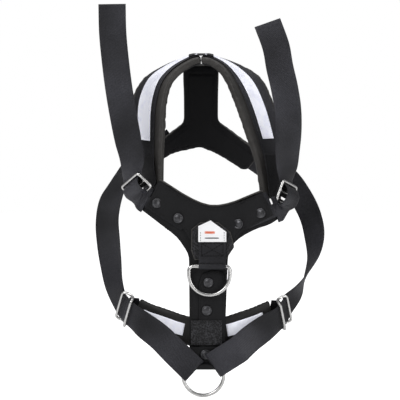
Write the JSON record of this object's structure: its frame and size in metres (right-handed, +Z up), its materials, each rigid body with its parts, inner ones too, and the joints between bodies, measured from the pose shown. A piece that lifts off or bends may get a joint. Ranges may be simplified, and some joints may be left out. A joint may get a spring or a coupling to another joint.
{
  "type": "no pull dog harness",
  "caption": "Padded strap harness for a large dog, with a Y-shaped chest plate, shoulder pads, an inverted-Y back piece, adjustable pull straps and front D-rings for a leash.",
  "frame": {"origin": "under the middle of the harness's box, level with its lowest point, the bottom of the lower D-ring", "axes": "+X to the viewer's right as seen from in front of the dog, +Y from the dog's chest to its tail, +Z up"},
  "size_m": [0.343, 0.199, 0.5475],
  "materials": {
    "webbing": "woven nylon webbing, slight sheen",
    "plate_cover": "smooth matte coated cloth",
    "lining": "matte brushed lining cloth",
    "padding": "stretch cloth over foam",
    "hook_and_loop": "fuzzy loop pile",
    "label_cloth": "matte woven tape, plain",
    "reflective_tape": "silver reflective tape, satin",
    "gunmetal": "satin black nickel",
    "nickel": "polished nickel plate"
  },
  "bodies": {
    "chest": {"chest_plate_lining": "lining", "chest_plate_foam": "padding", "chest_plate_cover": "plate_cover", "chest_yoke_overlay": "plate_cover", "chest_stem_strap": "webbing", "patch_panel": "hook_and_loop", "ring_tab_backing": "hook_and_loop", "ring_tab": "webbing", "label": "label_cloth", "lower_ring_tab": "webbing", "rivet_left_arm_outer": "gunmetal", "rivet_left_arm_inner": "gunmetal", "rivet_right_arm_inner": "gunmetal", "rivet_right_arm_outer": "gunmetal", "rivet_stem_upper": "gunmetal", "rivet_stem_middle": "gunmetal", "rivet_lower_tab": "gunmetal", "girth_pad": "padding", "girth_reflective_left": "reflective_tape", "girth_reflective_right": "reflective_tape", "girth_webbing": "webbing", "girth_loop_left": "webbing", "girth_loop_right": "webbing", "pull_strap_left": "webbing", "pull_strap_right": "webbing", "shoulder_lining_left": "lining", "shoulder_pad_left": "padding", "shoulder_webbing_left": "webbing", "shoulder_reflective_left": "reflective_tape", "shoulder_lining_right": "lining", "shoulder_pad_right": "padding", "shoulder_webbing_right": "webbing", "shoulder_reflective_right": "reflective_tape", "shoulder_anchor_left": "webbing", "shoulder_anchor_right": "webbing", "arm_strap_left": "webbing", "arm_strap_right": "webbing", "back_pad_lining": "lining", "back_pad_foam": "padding", "back_pad_cover": "padding", "back_webbing": "webbing"},
    "chest_ring": {"chest_d_ring": "nickel"},
    "lower_ring": {"lower_d_ring": "nickel"},
    "adjuster_left": {"shoulder_adjuster_left": "nickel"},
    "tail_left": {"strap_tail_left": "webbing"},
    "slider_left": {"side_slider_left": "nickel"},
    "adjuster_right": {"shoulder_adjuster_right": "nickel"},
    "tail_right": {"strap_tail_right": "webbing"},
    "slider_right": {"side_slider_right": "nickel"}
  },
  "joints": [
    {"name": "chest_ring_flip", "type": "hinge", "parent": "chest", "child": "chest_ring", "pos_m": [-0.00093, -0.09311, 0.182], "axis": [-1, 0, 0], "range_deg": [0, 150]},
    {"name": "lower_ring_flip", "type": "hinge", "parent": "chest", "child": "lower_ring", "pos_m": [-0.00943, -0.09311, 0.0425], "axis": [-1, 0, 0], "range_deg": [-20, 60], "deforming": ["pull_strap_left", "pull_strap_right"]},
    {"name": "adjuster_tilt_left", "type": "hinge", "parent": "chest", "child": "adjuster_left", "pos_m": [-0.09377, -0.07498, 0.28376], "axis": [0.5593, -0.7091, 0.4294], "range_deg": [-12, 12], "stiffness_Nm_per_rad": 0.5, "deforming": ["arm_strap_left", "shoulder_anchor_left"]},
    {"name": "tail_swing_left", "type": "hinge", "parent": "adjuster_left", "child": "tail_left", "pos_m": [-0.11299, -0.07902, 0.30218], "axis": [0.5593, -0.7091, 0.4294], "range_deg": [-15, 40], "stiffness_Nm_per_rad": 0.5, "deforming": ["arm_strap_left"]},
    {"name": "adjuster_tilt_right", "type": "hinge", "parent": "chest", "child": "adjuster_right", "pos_m": [0.10362, -0.07694, 0.2717], "axis": [0.5011, 0.8368, -0.2205], "range_deg": [-12, 12], "stiffness_Nm_per_rad": 0.5, "deforming": ["arm_strap_right", "shoulder_anchor_right"]},
    {"name": "tail_swing_right", "type": "hinge", "parent": "adjuster_right", "child": "tail_right", "pos_m": [0.11276, -0.07572, 0.29696], "axis": [0.5011, 0.8368, -0.2205], "range_deg": [-15, 40], "stiffness_Nm_per_rad": 0.5, "deforming": ["arm_strap_right"]},
    {"name": "slider_rock_left", "type": "hinge", "parent": "chest", "child": "slider_left", "pos_m": [-0.11688, -0.03635, 0.117], "axis": [0.2739, -0.3749, 0.8857], "range_deg": [-6, 6], "stiffness_Nm_per_rad": 0.2, "deforming": ["pull_strap_left", "girth_loop_left"]},
    {"name": "slider_rock_right", "type": "hinge", "parent": "chest", "child": "slider_right", "pos_m": [0.10163, -0.03601, 0.1121], "axis": [-0.2019, -0.4138, 0.8877], "range_deg": [-6, 6], "stiffness_Nm_per_rad": 0.2, "deforming": ["pull_strap_right", "girth_loop_right"]}
  ]
}
